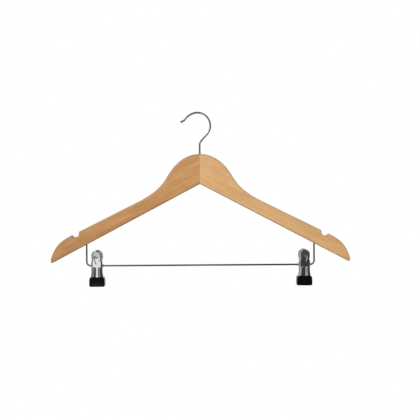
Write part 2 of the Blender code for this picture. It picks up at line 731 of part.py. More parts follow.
def build():
    """Builds the whole hanger."""
    clear_scene()
    zinc = material("zinc_plated_steel", (0.55, 0.56, 0.58), 0.35, 1.0)
    surfaces = {
        "left_arm": material("left_board_wood", (0.50, 0.27, 0.11), 0.42, 0.0),
        "right_arm": material("right_board_wood", (0.62, 0.38, 0.18), 0.42, 0.0),
        "hook": material("hook_wire", (0.42, 0.43, 0.45), 0.16, 1.0),
        "hook_nut": zinc,
        "hook_washer": zinc,
        "trouser_bar": material("bar_wire", (0.42, 0.43, 0.45), 0.16, 1.0),
        "tube": material("rivet_steel", (0.60, 0.61, 0.63), 0.20, 1.0),
        "jaw": material("chromed_sheet", (0.62, 0.63, 0.65), 0.08, 1.0),
        "pad": material("black_rubber", (0.012, 0.012, 0.013), 0.30, 0.0),
        "spring": material("spring_wire", (0.30, 0.30, 0.32), 0.30, 1.0),
    }
    build_boards(surfaces)
    build_hook(surfaces)
    build_bar(surfaces)
    build_clip("left_clip", LEFT_CLIP_X, surfaces)
    build_clip("right_clip", RIGHT_CLIP_X, surfaces)
    bpy.context.view_layer.update()


build()
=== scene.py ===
"""The looks of a wooden clothes hanger: two boards, a wire hook, a trouser bar and two clips.

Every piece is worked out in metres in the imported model's own frame: +Z is up, the front
faces -Y, and the origin is where a rail carries the hook.
"""

import math

import bmesh
import bpy
import numpy as np
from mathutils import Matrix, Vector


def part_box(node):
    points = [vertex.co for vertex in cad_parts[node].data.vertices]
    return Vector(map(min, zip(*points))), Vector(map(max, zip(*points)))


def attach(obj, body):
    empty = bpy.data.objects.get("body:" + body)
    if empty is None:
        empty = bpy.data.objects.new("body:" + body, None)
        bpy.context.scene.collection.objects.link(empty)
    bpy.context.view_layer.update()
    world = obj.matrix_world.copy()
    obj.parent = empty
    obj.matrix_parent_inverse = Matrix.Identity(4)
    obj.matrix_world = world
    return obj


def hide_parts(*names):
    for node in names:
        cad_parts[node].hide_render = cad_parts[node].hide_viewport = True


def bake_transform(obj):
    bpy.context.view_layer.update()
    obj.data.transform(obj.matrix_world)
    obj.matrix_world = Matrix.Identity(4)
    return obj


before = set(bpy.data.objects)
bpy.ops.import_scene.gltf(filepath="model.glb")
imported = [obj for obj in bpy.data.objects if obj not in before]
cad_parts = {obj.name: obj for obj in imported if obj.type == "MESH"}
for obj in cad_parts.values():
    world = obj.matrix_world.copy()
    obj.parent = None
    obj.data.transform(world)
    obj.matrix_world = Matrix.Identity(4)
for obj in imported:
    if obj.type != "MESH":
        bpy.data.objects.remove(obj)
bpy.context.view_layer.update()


# The two boards: pale hardwood planed to one thickness, glued at the neck in a comb joint
# and then sawn and moulded as one, with a rounded edge round the front and the back. A
# clear satin lacquer covers them. The left board is the redder and darker of the two.

SPAN = 0.445
BOARD_THICK = 0.012
EDGE_ROUND = 0.0025
FLAT_STRIP = 0.0003          # narrow flat band inside the rounding, before the flat face
UNDERSIDE_ANGLE = math.radians(27.8)
SHOULDER_ANGLE = math.radians(26.4)
NECK_HEIGHT = 0.0446         # heights are above the apex of the boards' underside
SHOULDER_LEVEL = 0.0197
NECK_TURN = np.array((0.0500, 0.0088))
NECK_TURN_ANGLE = math.radians(58.5)
SHOULDER_START_X = 0.1015
CROWN_PULL = 0.0304
NECK_PULL_IN = 0.0087
NECK_PULL_OUT = 0.0253
SHOULDER_PULL = 0.0194
NOTCH_INSET = 0.0367
NOTCH_RADIUS = 0.0055
TIP_LENGTH = 0.0296
TIP_NOSE = 0.0062
TIP_ANGLE = math.radians(74.8)
TIP_PULL_IN = 0.0150
TIP_PULL_OUT = 0.0207
TIP_ROUND = 0.0018
LEAST_ROUND = 0.0004         # of a corner on an outline that is moved further in
TONGUE_LENGTH = 0.0080
TONGUE_THICK = 0.0030
GLUE_LINE = 0.00004
SHANK_HOLE = 0.0018
NUT_HOLE = 0.0040
NUT_HOLE_DEPTH = 0.0043      # ceiling of the counterbore above the apex
BAR_HOLE = 0.0016
BAR_HOLE_DEPTH = 0.0123
BAR_RADIUS = 0.0013          # of the trouser bar's wire, whose ends the holes take
OVERRUN = 0.002              # how far a cutter runs past the surface it opens
NECK_STEPS = 40
CURVE_STEPS = 30             # of the curve out to the shoulder, and of the tip
NOTCH_STEPS = 32
CORNER_STEPS = 12
EDGE_STEPS = 8
ROUND_SIDES = 48             # of holes and turned pieces
SHARP_ANGLE = math.radians(35)
MERGE_DISTANCE = 1e-7

HALF_SPAN = SPAN / 2
APEX_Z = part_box("left_arm")[1].z - NECK_HEIGHT
BAR_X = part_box("trouser_bar")[1].x - BAR_RADIUS
DOWNHILL = np.array((math.cos(SHOULDER_ANGLE), -math.sin(SHOULDER_ANGLE)))


def bezier(start, pull_start, pull_end, end, inset, steps):
    """Cubic curve of four points, each point then moved an inset along the right-hand normal."""
    t = np.linspace(0, 1, steps + 1)[:, None]
    s = 1 - t
    points = s ** 3 * start + 3 * s * s * t * pull_start + 3 * s * t * t * pull_end + t ** 3 * end
    along = s * s * (pull_start - start) + 2 * s * t * (pull_end - pull_start) + t * t * (end - pull_end)
    along /= np.linalg.norm(along, axis=1, keepdims=True)
    return points + inset * along[:, ::-1] * (1, -1)


def arc(centre, radius, start, end, steps):
    """Circle's points from one angle to another: centre + radius (cos, sin)."""
    turn = np.linspace(start, end, steps + 1)
    return centre + radius * np.stack((np.cos(turn), np.sin(turn)), axis=1)


def shoulder_point(x):
    """Point of the straight shoulder line: its level less x times the slope."""
    return np.array((x, SHOULDER_LEVEL - x * math.tan(SHOULDER_ANGLE)))


def board_outline(inset):
    """Both boards' outline in x and height above the apex, moved into the wood by an inset.

    Half of it runs crown, neck, shoulder, notch, curved tip, rounded corner, apex: three
    cubic curves and two arcs, with an upright wall on the notch's inner side. The other
    half is the same with x reversed.
    """
    neck_along = np.array((math.cos(NECK_TURN_ANGLE), -math.sin(NECK_TURN_ANGLE)))
    crown = np.array((0.0, NECK_HEIGHT))
    neck = bezier(crown, crown + (CROWN_PULL, 0), NECK_TURN - neck_along * NECK_PULL_IN, NECK_TURN,
                  inset, NECK_STEPS)
    shoulder = shoulder_point(SHOULDER_START_X)
    outer = bezier(NECK_TURN, NECK_TURN + neck_along * NECK_PULL_OUT,
                   shoulder - DOWNHILL * SHOULDER_PULL, shoulder, inset, CURVE_STEPS)
    radius = NOTCH_RADIUS + inset
    centre = shoulder_point(HALF_SPAN - NOTCH_INSET)
    wall_top = shoulder_point(centre[0] - radius) - (0, inset / math.cos(SHOULDER_ANGLE))
    last = 2 * math.pi - SHOULDER_ANGLE - math.asin(inset / radius)
    notch = np.concatenate(([wall_top], arc(centre, radius, math.pi, last, NOTCH_STEPS)))
    tip_start = shoulder_point(HALF_SPAN - TIP_LENGTH)
    corner = np.array((HALF_SPAN, -HALF_SPAN * math.tan(UNDERSIDE_ANGLE)))
    nose = corner + (0, TIP_NOSE)
    tip_along = np.array((math.cos(TIP_ANGLE), -math.sin(TIP_ANGLE)))
    tip = bezier(tip_start, tip_start + DOWNHILL * TIP_PULL_IN, nose - tip_along * TIP_PULL_OUT, nose,
                 inset, CURVE_STEPS)
    tight = max(TIP_ROUND - inset, LEAST_ROUND)
    round_x = HALF_SPAN - tight - inset
    round_z = -round_x * math.tan(UNDERSIDE_ANGLE) + (tight + inset) / math.cos(UNDERSIDE_ANGLE)
    end = arc((round_x, round_z), tight, 0, -math.pi / 2 - UNDERSIDE_ANGLE, CORNER_STEPS)
    apex = np.array([(0.0, inset / math.cos(UNDERSIDE_ANGLE))])
    half = np.concatenate((neck, outer[1:], notch, tip, end, apex))
    return np.concatenate((half, half[-2:0:-1] * (-1, 1)))


def settle(mesh, closed=True):
    """Merges points that coincide, turns faces outwards and marks sharp edges."""
    shape = bmesh.new()
    shape.from_mesh(mesh)
    bmesh.ops.remove_doubles(shape, verts=shape.verts, dist=MERGE_DISTANCE)
    if closed:
        bmesh.ops.recalc_face_normals(shape, faces=shape.faces)
    shape.to_mesh(mesh)
    shape.free()
    mesh.shade_smooth()
    mesh.set_sharp_from_angle(angle=SHARP_ANGLE)


def skin(name, grid, round_rows=True, round_columns=False, caps=False, closed=True):
    """Piece over a grid of points, rows by columns: a face between each four neighbours.

    The last column joins the first with round_rows, and the last row the first with
    round_columns. Caps close the first and the last row with one flat face each.
    """
    rows, columns = grid.shape[:2]
    index = np.arange(rows * columns).reshape(rows, columns)
    lines = np.concatenate((index, index[:1])) if round_columns else index
    net = np.concatenate((lines, lines[:, :1]), axis=1) if round_rows else lines
    corners = (net[:-1, :-1], net[:-1, 1:], net[1:, 1:], net[1:, :-1])
    faces = np.stack(corners, axis=-1).reshape(-1, 4).tolist()
    if caps:
        faces += [index[0].tolist(), index[-1].tolist()]
    mesh = bpy.data.meshes.new(name)
    mesh.from_pydata(grid.reshape(-1, 3).tolist(), [], faces)
    settle(mesh, closed)
    piece = bpy.data.objects.new(name, mesh)
    bpy.context.scene.collection.objects.link(piece)
    return piece


def turned(name, centre, profile, along_x=False):
    """Ring of revolution: each (position on the axis, radius) pair of a closed profile goes round."""
    turn = np.linspace(0, 2 * np.pi, ROUND_SIDES, endpoint=False)
    position, radius = np.array(profile).T[:, :, None]
    across = radius * np.cos(turn)
    up = radius * np.sin(turn)
    level = position + 0 * turn
    axes = (level, across, up) if along_x else (across, up, level)
    return skin(name, np.stack(axes, axis=-1) + centre, round_columns=True)


def freeze(piece):
    """Makes what a piece's modifiers give its own mesh."""
    graph = bpy.context.evaluated_depsgraph_get()
    mesh = bpy.data.meshes.new_from_object(piece.evaluated_get(graph))
    piece.modifiers.clear()
    piece.data = mesh
    settle(mesh)


def carve(piece, cutter, operation='DIFFERENCE', solver='EXACT'):
    """Takes a cutter's space out of a piece, or keeps only that, and removes the cutter."""
    step = piece.modifiers.new("cut", 'BOOLEAN')
    step.operation = operation
    step.solver = solver
    step.object = cutter
    freeze(piece)
    bpy.data.objects.remove(cutter, do_unlink=True)


def drill(name, centre, profile, along_x=False):
    """Solid of revolution for cutting a hole: the profile closes on the axis."""
    ends = [(profile[0][0], 0.0)] + list(profile) + [(profile[-1][0], 0.0)]
    return turned(name, centre, ends, along_x)


class Reading:
    """A socket of a shader that takes part in sums: each operator adds its Math node."""

    def __init__(self, recipe, socket):
        self.recipe = recipe
        self.socket = socket

    def maths(self, operation, *values):
        return self.recipe.node("Math", {"operation": operation}, dict(enumerate(values)))

    def __add__(self, other):
        return self.maths('ADD', self, other)

    def __sub__(self, other):
        return self.maths('SUBTRACT', self, other)

    def __rsub__(self, other):
        return self.maths('SUBTRACT', other, self)

    def __mul__(self, other):
        return self.maths('MULTIPLY', self, other)

    def __truediv__(self, other):
        return self.maths('DIVIDE', self, other)

    def __pow__(self, other):
        return self.maths('POWER', self, other)

    def __abs__(self):
        return self.maths('ABSOLUTE', self)

    __radd__ = __add__
    __rmul__ = __mul__

    def part(self):
        """What is left of a value above the whole number below it."""
        return self.maths('FRACT', self)

    def rise(self, start, end):
        """0 below start and 1 above end, smooth between; end may be the lower one."""
        if start > end:
            return 1 - self.rise(end, start)
        inputs = {"Value": self, "From Min": start, "From Max": end}
        return self.recipe.node("MapRange", {"interpolation_type": 'SMOOTHSTEP'}, inputs)


class Recipe:
    """The nodes of a material or of the world."""

    def __init__(self, owner):
        owner.use_nodes = True
        self.owner = owner
        self.tree = owner.node_tree

    def feed(self, socket, value):
        """Gives a socket a value, or links it to a reading."""
        if isinstance(value, Reading):
            self.tree.links.new(value.socket, socket)
        else:
            socket.default_value = value

    def node(self, kind, settings, inputs, output=0):
        """Adds a node of a type: its settings first, then the values or links of its sockets."""
        made = self.tree.nodes.new("ShaderNode" + kind)
        for name, value in settings.items():
            setattr(made, name, value)
        for name, value in inputs.items():
            self.feed(made.inputs[name], value)
        return Reading(self, made.outputs[output])

    def mix(self, share, first, second, blend='MIX'):
        """Colour between two colours, or one worked on another."""
        settings = {"data_type": 'RGBA', "blend_type": blend}
        return self.node("Mix", settings, {0: share, 6: first, 7: second}, 2)

    def axis(self, place, letter):
        """One coordinate of a place or a direction: X, Y or Z."""
        return self.node("SeparateXYZ", {}, {0: place}, letter)

    def noise(self, place, scale, detail=2.0, roughness=0.5, offset=(0, 0, 0)):
        """Cloudy value about 0.5 with so many waves a metre in each direction."""
        spot = self.node("Mapping", {}, {"Vector": place, "Scale": scale, "Location": offset})
        return self.node("TexNoise", {}, {"Vector": spot, "Scale": 1.0, "Detail": detail,
                                          "Roughness": roughness})


def surface(name, fixed):
    """A material whose shader has these fixed values, as the recipe, the shader and the place."""
    recipe = Recipe(bpy.data.materials.new(name))
    shader = recipe.tree.nodes["Principled BSDF"]
    for socket, value in fixed.items():
        shader.inputs[socket].default_value = value
    place = recipe.node("TexCoord", {}, {}, "Object")
    return recipe, shader, place


def grey(value):
    """Opaque grey of one value."""
    return (value, value, value, 1.0)


# Each board has its side, its slot, the place of its pith and of its pattern, the colours of
# its early and late wood, of its rim, which is the painted shade on the rounded edges and the
# colour of its pores and end grain, of its amber patches, and its tip's tone.
RING_WIDTH = 0.0026
RING_WAVER = 0.011           # way that a ring wavers over the slow noise's whole range
AMBER_SHARE = 0.8
PORE_SHARE = 0.25
END_GRAIN_SHARE = 0.45
BOARDS = {
    "left_arm": {
        "side": -1, "slot": "left_board_wood", "pith": (0.031, -0.055), "seed": (3.1, 0.0, 7.7),
        "pale": (0.678, 0.360, 0.140, 1.0), "deep": (0.408, 0.182, 0.056, 1.0),
        "rim": (0.170, 0.105, 0.062, 1.0), "amber": (1.0, 0.86, 0.66, 1.0), "tip_tone": 0.85,
    },
    "right_arm": {
        "side": 1, "slot": "right_board_wood", "pith": (-0.045, -0.062), "seed": (11.3, 4.0, 1.9),
        "pale": (0.784, 0.470, 0.215, 1.0), "deep": (0.589, 0.330, 0.137, 1.0),
        "rim": (0.205, 0.140, 0.088, 1.0), "amber": (1.0, 0.90, 0.72, 1.0), "tip_tone": 1.0,
    },
}


def wood(name, board):
    """Lacquered wood with its grain along one arm.

    Growth rings are distances from a pith beside the board, bent by a slow noise; their
    late wood is the deeper colour. Fine fibres, short pores, broad cloudy tones and amber
    patches lie over them. The end grain takes the stain most. The rounded edges get painted
    shade in the rim colour, more where they face down and less on the flat sides.
    """
    recipe, shader, place = surface(name, {"IOR": 1.5, "Coat Weight": 0.35, "Coat Roughness": 0.22})
    turn = -board["side"] * (UNDERSIDE_ANGLE + SHOULDER_ANGLE) / 2
    tilt = {"Vector": place, "Rotation": (0, turn, 0)}
    grain = recipe.node("Mapping", {}, {**tilt, "Location": board["seed"]})
    axes = recipe.node("Mapping", {}, tilt)
    pith_y, pith_z = board["pith"]
    warp = recipe.noise(grain, (7, 24, 30), 2.0) - 0.5
    off_z = recipe.axis(axes, "Z") - (APEX_Z + pith_z)
    off_y = recipe.axis(axes, "Y") - pith_y
    radius = (off_y * off_y + off_z * off_z) ** 0.5 + warp * RING_WAVER
    late = (radius / RING_WIDTH).part() ** 3
    fibre = recipe.noise(grain, (45, 1700, 1700), 3.0, 0.6)
    streak = recipe.noise(grain, (14, 260, 320), 2.0)
    cloud = recipe.noise(grain, (16, 40, 55), 2.0, offset=(5, 1, 2))
    tint = recipe.noise(grain, (60, 130, 160), 2.0, 0.6, offset=(8, 3, 6))
    pore = recipe.noise(grain, (170, 2600, 2600), 1.0, offset=(1, 9, 4)).rise(0.66, 0.74)
    depth = 0.16 + late * 0.34 + (fibre - 0.5) * 0.9 + (streak - 0.5) * 1.1 + (cloud - 0.5) * 0.9
    colour = recipe.mix(depth.rise(-0.25, 1.15), board["pale"], board["deep"])
    colour = recipe.mix(tint.rise(0.42, 0.68) * AMBER_SHARE, colour, board["amber"], 'MULTIPLY')
    colour = recipe.mix(pore * PORE_SHARE, colour, board["rim"])
    tone = 1 - (1 - board["tip_tone"]) * abs(recipe.axis(place, "X")).rise(0.02, HALF_SPAN)
    shade = recipe.node("CombineColor", {}, dict(enumerate((tone,) * 3)))
    colour = recipe.mix(1.0, colour, shade, 'MULTIPLY')
    normal = recipe.node("TexCoord", {}, {}, "Normal")
    facing = abs(recipe.axis(normal, "Y"))
    # Painted shade: the rounded edges darken towards the rim colour, more where they face down, less on the
    # flat sides.
    below = recipe.axis(normal, "Z").rise(0.0, -0.45)
    flank = facing.rise(0.4, 0.1)
    painted_edge_shade = facing.rise(0.998, 0.72) * (0.46 + below * 0.08) * (1 - flank * 0.6)
    colour = recipe.mix(painted_edge_shade, colour, board["rim"])
    way = (math.cos(turn), 0, math.sin(turn))
    end = abs(recipe.node("VectorMath", {"operation": 'DOT_PRODUCT'}, {0: normal, 1: way}, "Value"))
    colour = recipe.mix(end.rise(0.55, 0.98) * END_GRAIN_SHARE, colour, board["rim"])
    recipe.feed(shader.inputs["Base Color"], colour)
    recipe.feed(shader.inputs["Roughness"], 0.36 + (cloud - 0.5) * 0.16 + pore * 0.2)
    relief = fibre * 0.5 + late * 0.3 - pore
    bump = recipe.node("Bump", {}, {"Strength": 0.35, "Distance": 0.00006, "Height": relief})
    recipe.feed(shader.inputs["Normal"], bump)
    return recipe.owner


def comb(name, side):
    """The space of one board: its half, a tongue across the neck and the other's groove."""
    reach = HALF_SPAN + OVERRUN
    deep = BOARD_THICK / 2 + OVERRUN
    edge = GLUE_LINE / 2
    plan = np.array([(-reach, -deep), (-edge, -deep), (-edge, -TONGUE_THICK), (TONGUE_LENGTH, -TONGUE_THICK),
                     (TONGUE_LENGTH, -edge), (-TONGUE_LENGTH - GLUE_LINE, -edge),
                     (-TONGUE_LENGTH - GLUE_LINE, TONGUE_THICK + GLUE_LINE),
                     (-edge, TONGUE_THICK + GLUE_LINE), (-edge, deep), (-reach, deep)]) * -side
    low = APEX_Z - HALF_SPAN * math.tan(UNDERSIDE_ANGLE) - OVERRUN
    high = APEX_Z + NECK_HEIGHT + OVERRUN
    rows = [np.column_stack((plan, np.full(len(plan), level))) for level in (low, high)]
    return skin(name, np.stack(rows), caps=True)


edge_turn = np.linspace(0, math.pi / 2, EDGE_STEPS + 1)
edge_y = BOARD_THICK / 2 - EDGE_ROUND * (1 - np.cos(edge_turn))
edge_inset = EDGE_ROUND * (1 - np.sin(edge_turn))
layer_y = np.concatenate(([BOARD_THICK / 2], edge_y))
layer_inset = np.concatenate(([EDGE_ROUND + FLAT_STRIP], edge_inset))
layers = list(zip(-layer_y, layer_inset)) + list(zip(layer_y[::-1], layer_inset[::-1]))


def whole_boards(name):
    """Both boards as one: their outline at each depth of the rounded edge, front to back."""
    rows = []
    for y, inset in layers:
        line = board_outline(inset)
        rows.append(np.column_stack((line[:, 0], np.full(len(line), y), line[:, 1] + APEX_Z)))
    return skin(name, np.stack(rows), caps=True)


shank_profile = [(-OVERRUN - NUT_HOLE * math.tan(UNDERSIDE_ANGLE), NUT_HOLE), (NUT_HOLE_DEPTH, NUT_HOLE),
                 (NUT_HOLE_DEPTH, SHANK_HOLE), (NECK_HEIGHT + OVERRUN, SHANK_HOLE)]
bar_profile = [(-OVERRUN, BAR_HOLE), (BAR_HOLE_DEPTH, BAR_HOLE)]
bar_level = APEX_Z - BAR_X * math.tan(UNDERSIDE_ANGLE)
for node, board in BOARDS.items():
    arm = whole_boards(node + "_board")
    carve(arm, comb("half", board["side"]), 'INTERSECT')
    carve(arm, drill("shank_drill", (0, 0, APEX_Z), shank_profile))
    carve(arm, drill("bar_drill", (board["side"] * BAR_X, 0, bar_level), bar_profile))
    arm.data.materials.clear()
    arm.data.materials.append(wood(node + "_lacquered", board))
    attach(arm, "hanger")
    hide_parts(node)


# The hook: one length of drawn and plated steel wire, bent to a round bight that opens
# outwards, with an upset head on its tip and a thread cut on the end of its shank.

WIRE_RADIUS = 0.0015
BIGHT_RADIUS = 0.0194
BIGHT_OFFSET = -0.0033
BIGHT_HEIGHT = 0.0870
LEAN_ANGLE = math.radians(42)
LEAN_BEND_RADIUS = 0.0075
BIGHT_TURN = math.radians(147)
OUTER_BEND_RADIUS = 0.0240
OUTER_BEND_TURN = math.radians(40)
TIP_BEND_RADIUS = 0.0070
TIP_BEND_TURN = math.radians(35)
BUTTON_RADIUS = 0.0021
BUTTON_THICK = 0.0026
BUTTON_NECK = 0.0010
SHANK_STANDOUT = 0.0006
THREAD_PITCH = 0.0005
THREAD_DEPTH = 0.00026
THREAD_LENGTH = 0.0070
THREAD_STEPS = 10            # stations in one turn of the thread
THREAD_FLAT = 0.2            # flat on the crest and in the root, to the slope between
THREAD_FADE_TURNS = 2
THREAD_END_SHARE = 1.3       # depth of the cut at the shank's end, to the thread's
HEAD_STEPS = 20
HEAD_POWER = 0.55            # of the sine that rounds the head: 1 is a ball, 0 a cylinder
BEND_STEP = math.radians(2.5)
LEAST_BEND_STEPS = 4
WIRE_STEP = 0.0006
WIRE_SIDES = 24
METAL_IOR = 1.45
DULL_SHARE = 0.80            # of a plating's colour, where it is cloudiest
HOOK_COLOUR = (0.77, 0.77, 0.78)


def bent_line(x, z, heading, moves):
    """A wire's centre line in x and z: straight runs as (length, 0), bends as (radius, turn).

    A bend is an arc about a point at right angles to the heading, to the left for a
    positive turn. The heading then grows by the turn.
    """
    line = [np.array([(x, z)])]
    for size, turn in moves:
        last = line[-1][-1]
        if turn == 0:
            line.append(last + size * np.array([(math.cos(heading), math.sin(heading))]))
            continue
        start = heading - math.copysign(math.pi / 2, turn)
        centre = last - size * np.array((math.cos(start), math.sin(start)))
        steps = max(LEAST_BEND_STEPS, round(abs(turn) / BEND_STEP))
        line.append(arc(centre, size, start, start + turn, steps)[1:])
        heading += turn
    flat = np.concatenate(line)
    return np.column_stack((flat[:, 0], np.zeros(len(flat)), flat[:, 1]))


def tube(name, line, across, stations, radius, sides=WIRE_SIDES):
    """Wire along a line: at each station a ring of its radius, square to the line there.

    Stations are distances along the line. Across is a direction at each point of the line
    that the ring's first axis keeps to, less its share along the line.
    """
    run = np.concatenate(([0.0], np.cumsum(np.linalg.norm(np.diff(line, axis=0), axis=1))))
    tangent = np.gradient(line, run, axis=0)

    def at(values):
        """Values of the line's points at the stations."""
        return np.stack([np.interp(stations, run, values[:, i]) for i in range(3)], axis=1)

    along = at(tangent / np.linalg.norm(tangent, axis=1, keepdims=True))
    along /= np.linalg.norm(along, axis=1, keepdims=True)
    first = at(np.broadcast_to(across, line.shape))
    first = first - along * np.sum(first * along, axis=1, keepdims=True)
    first /= np.linalg.norm(first, axis=1, keepdims=True)
    second = np.cross(along, first)
    turn = np.linspace(0, 2 * np.pi, sides, endpoint=False)[:, None]
    ring = np.cos(turn) * first[:, None] + np.sin(turn) * second[:, None]
    size = radius if radius.ndim == 2 else radius[:, None]
    grid = at(line)[:, None] + size[..., None] * ring
    return skin(name, grid)


def run_length(line):
    """Sum of the distances between a line's points."""
    return float(np.sum(np.linalg.norm(np.diff(line, axis=0), axis=1)))


def all_round(radius):
    """Each station's radius, once for every side of the wire."""
    return np.repeat(np.reshape(radius, (-1, 1)), WIRE_SIDES, axis=1)


def plated(name, colour, spots, worn):
    """Bright metal: a faint cloudiness, and specks that are so many a metre, in tone and polish."""
    recipe, shader, place = surface(name, {"Metallic": 1.0, "IOR": METAL_IOR})
    cloud = recipe.noise(place, (90, 90, 90), 3.0)
    fine = recipe.noise(place, (spots, spots, spots), 2.0, 0.6)
    tone = (cloud - 0.5) * 0.5 + (fine - 0.5) * 0.7 + 0.5
    dull = tuple(part * DULL_SHARE for part in colour)
    recipe.feed(shader.inputs["Base Color"], recipe.mix(tone, (*colour, 1.0), (*dull, 1.0)))
    recipe.feed(shader.inputs["Roughness"], worn + (cloud - 0.5) * 0.06 + (fine - 0.5) * 0.08)
    bump = recipe.node("Bump", {}, {"Strength": 0.15, "Distance": 0.00002, "Height": fine})
    recipe.feed(shader.inputs["Normal"], bump)
    return recipe.owner


lean = math.pi / 2 - LEAN_ANGLE
bight_start_x = BIGHT_OFFSET + BIGHT_RADIUS * math.cos(LEAN_ANGLE)
bight_start_z = BIGHT_HEIGHT - BIGHT_RADIUS * math.sin(LEAN_ANGLE)
bend_reach = LEAN_BEND_RADIUS * math.tan(LEAN_ANGLE / 2)
shank_top = bight_start_z - bight_start_x * math.tan(lean) - bend_reach
hook_line = bent_line(0, APEX_Z - SHANK_STANDOUT, math.pi / 2, [
    (SHANK_STANDOUT + shank_top, 0), (LEAN_BEND_RADIUS, -LEAN_ANGLE),
    (bight_start_x / math.cos(lean) - bend_reach, 0), (BIGHT_RADIUS, BIGHT_TURN),
    (OUTER_BEND_RADIUS, OUTER_BEND_TURN), (TIP_BEND_RADIUS, -TIP_BEND_TURN),
    (BUTTON_NECK, 0), (BUTTON_THICK, 0)])
hook_length = run_length(hook_line)
head_start = hook_length - BUTTON_THICK
thread = np.arange(THREAD_PITCH / 2, THREAD_LENGTH, THREAD_PITCH / THREAD_STEPS)
thread_turn = np.linspace(0, 1, WIRE_SIDES, endpoint=False)
groove = np.abs((thread[:, None] / THREAD_PITCH - thread_turn) % 1 - 0.5) * 2
fade = np.clip((THREAD_LENGTH - thread[:, None]) / THREAD_PITCH / THREAD_FADE_TURNS, 0, 1)
cut = np.clip((1 + 2 * THREAD_FLAT) * groove - THREAD_FLAT, 0, 1)
thread_radius = WIRE_RADIUS - THREAD_DEPTH * fade * cut
plain = np.arange(THREAD_LENGTH, head_start, WIRE_STEP)
head = np.linspace(0, math.pi, HEAD_STEPS + 1)
head_at = head_start + BUTTON_THICK * (1 - np.cos(head)) / 2
head_radius = BUTTON_RADIUS * np.sin(head) ** HEAD_POWER
near_half = slice(HEAD_STEPS // 2)
head_radius[near_half] = np.maximum(head_radius[near_half], WIRE_RADIUS)
hook_stations = np.concatenate(([0.0, 0.0], thread, plain, head_at))
hook_radius = np.concatenate((all_round([0.0, WIRE_RADIUS - THREAD_DEPTH * THREAD_END_SHARE]), thread_radius,
                              all_round(np.full(len(plain), WIRE_RADIUS)), all_round(head_radius)))
hook = tube("hook_wire", hook_line, (0.0, 1.0, 0.0), hook_stations, hook_radius)
hook.data.materials.append(plated("hook_plating", HOOK_COLOUR, spots=1500, worn=0.20))
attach(hook, "hook")
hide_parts("hook")


# The nut and its washer: a small zinc plated steel nut on the shank's thread, chamfered
# at both ends, over a punched washer, both in the round recess under the neck.

NUT_FLATS = 0.0055
NUT_CHAMFER_SHARE = 0.95
NUT_CHAMFER_SLOPE = math.tan(math.radians(30))
NUT_MOUTH = 0.0018
NUT_BORE = 0.00153
WASHER_RADIUS = 0.0034
WASHER_HOLE = 0.0018
WASHER_EDGE = 0.00012
NUT_STEPS = 72
ZINC_COLOUR = (0.56, 0.57, 0.59)

nut_low, nut_high = (corner.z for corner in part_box("hook_nut"))
nut_turn = np.linspace(0, 2 * np.pi, NUT_STEPS, endpoint=False)
hexagon = NUT_FLATS / 2 / np.cos((nut_turn + math.pi / 6) % (math.pi / 3) - math.pi / 6)
chamfer_from = NUT_FLATS / 2 * NUT_CHAMFER_SHARE
chamfer = (hexagon - chamfer_from) * NUT_CHAMFER_SLOPE
mouth_depth = NUT_MOUTH - NUT_BORE
nut_rows = [(NUT_BORE, nut_low + mouth_depth), (NUT_MOUTH, nut_low), (chamfer_from, nut_low),
            (hexagon, nut_low + chamfer), (hexagon, nut_high - chamfer), (chamfer_from, nut_high),
            (NUT_MOUTH, nut_high), (NUT_BORE, nut_high - mouth_depth)]
nut_grid = np.stack([np.column_stack((r * np.cos(nut_turn), r * np.sin(nut_turn), z + 0 * nut_turn))
                     for r, z in nut_rows])
nut = skin("hook_nut_hexagon", nut_grid, round_columns=True)
washer_low, washer_high = (corner.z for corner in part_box("hook_washer"))
washer = turned("hook_washer_ring", (0, 0, 0), [
    (washer_low, WASHER_HOLE + WASHER_EDGE), (washer_low, WASHER_RADIUS - WASHER_EDGE),
    (washer_low + WASHER_EDGE, WASHER_RADIUS), (washer_high - WASHER_EDGE, WASHER_RADIUS),
    (washer_high, WASHER_RADIUS - WASHER_EDGE), (washer_high, WASHER_HOLE + WASHER_EDGE),
    (washer_high - WASHER_EDGE, WASHER_HOLE), (washer_low + WASHER_EDGE, WASHER_HOLE)])
zinc = plated("zinc_plating", ZINC_COLOUR, spots=2600, worn=0.34)
for piece, node, body in ((nut, "hook_nut", "hook"), (washer, "hook_washer", "hanger")):
    piece.data.materials.append(zinc)
    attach(piece, body)
    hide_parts(node)


# The trouser bar: thinner steel wire with a duller plating, its two ends turned up and
# driven into blind holes in the boards' undersides.

BAR_DROP = 0.1209
BAR_BEND_RADIUS = 0.0060
BAR_SEAT = 0.0120
BAR_CHAMFER = 0.0002
BAR_END_SHARE = 0.85         # radius of the flat end inside the chamfer, to the wire's
BAR_STATIONS = 420
BAR_COLOUR = (0.44, 0.44, 0.45)


def cut_wire(length, radius, chamfer, end_share, count):
    """Stations and radii of an even wire with a flat, chamfered end at both sides."""
    stations = np.concatenate(([0.0, 0.0], np.linspace(chamfer, length - chamfer, count), [length] * 2))
    radii = np.full(len(stations), radius)
    radii[[1, -2]] = radius * end_share
    radii[[0, -1]] = 0.0
    return stations, radii


bar_top = bar_level + BAR_SEAT
riser = bar_top - (APEX_Z - BAR_DROP) - BAR_BEND_RADIUS
bar_line = bent_line(-BAR_X, bar_top, -math.pi / 2, [
    (riser, 0), (BAR_BEND_RADIUS, math.pi / 2), (2 * (BAR_X - BAR_BEND_RADIUS), 0),
    (BAR_BEND_RADIUS, math.pi / 2), (riser, 0)])
bar_ends = cut_wire(run_length(bar_line), BAR_RADIUS, BAR_CHAMFER, BAR_END_SHARE, BAR_STATIONS)
bar = tube("trouser_bar_wire", bar_line, (0.0, 1.0, 0.0), *bar_ends)
bar.data.materials.append(plated("bar_plating", BAR_COLOUR, spots=1500, worn=0.20))
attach(bar, "hanger")
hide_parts("trouser_bar")


# The hollow rivets: a short bright tube through both jaws' ears, with its ends rolled
# over the front jaw's ears. The bar runs through it, so the clip swings and slides.

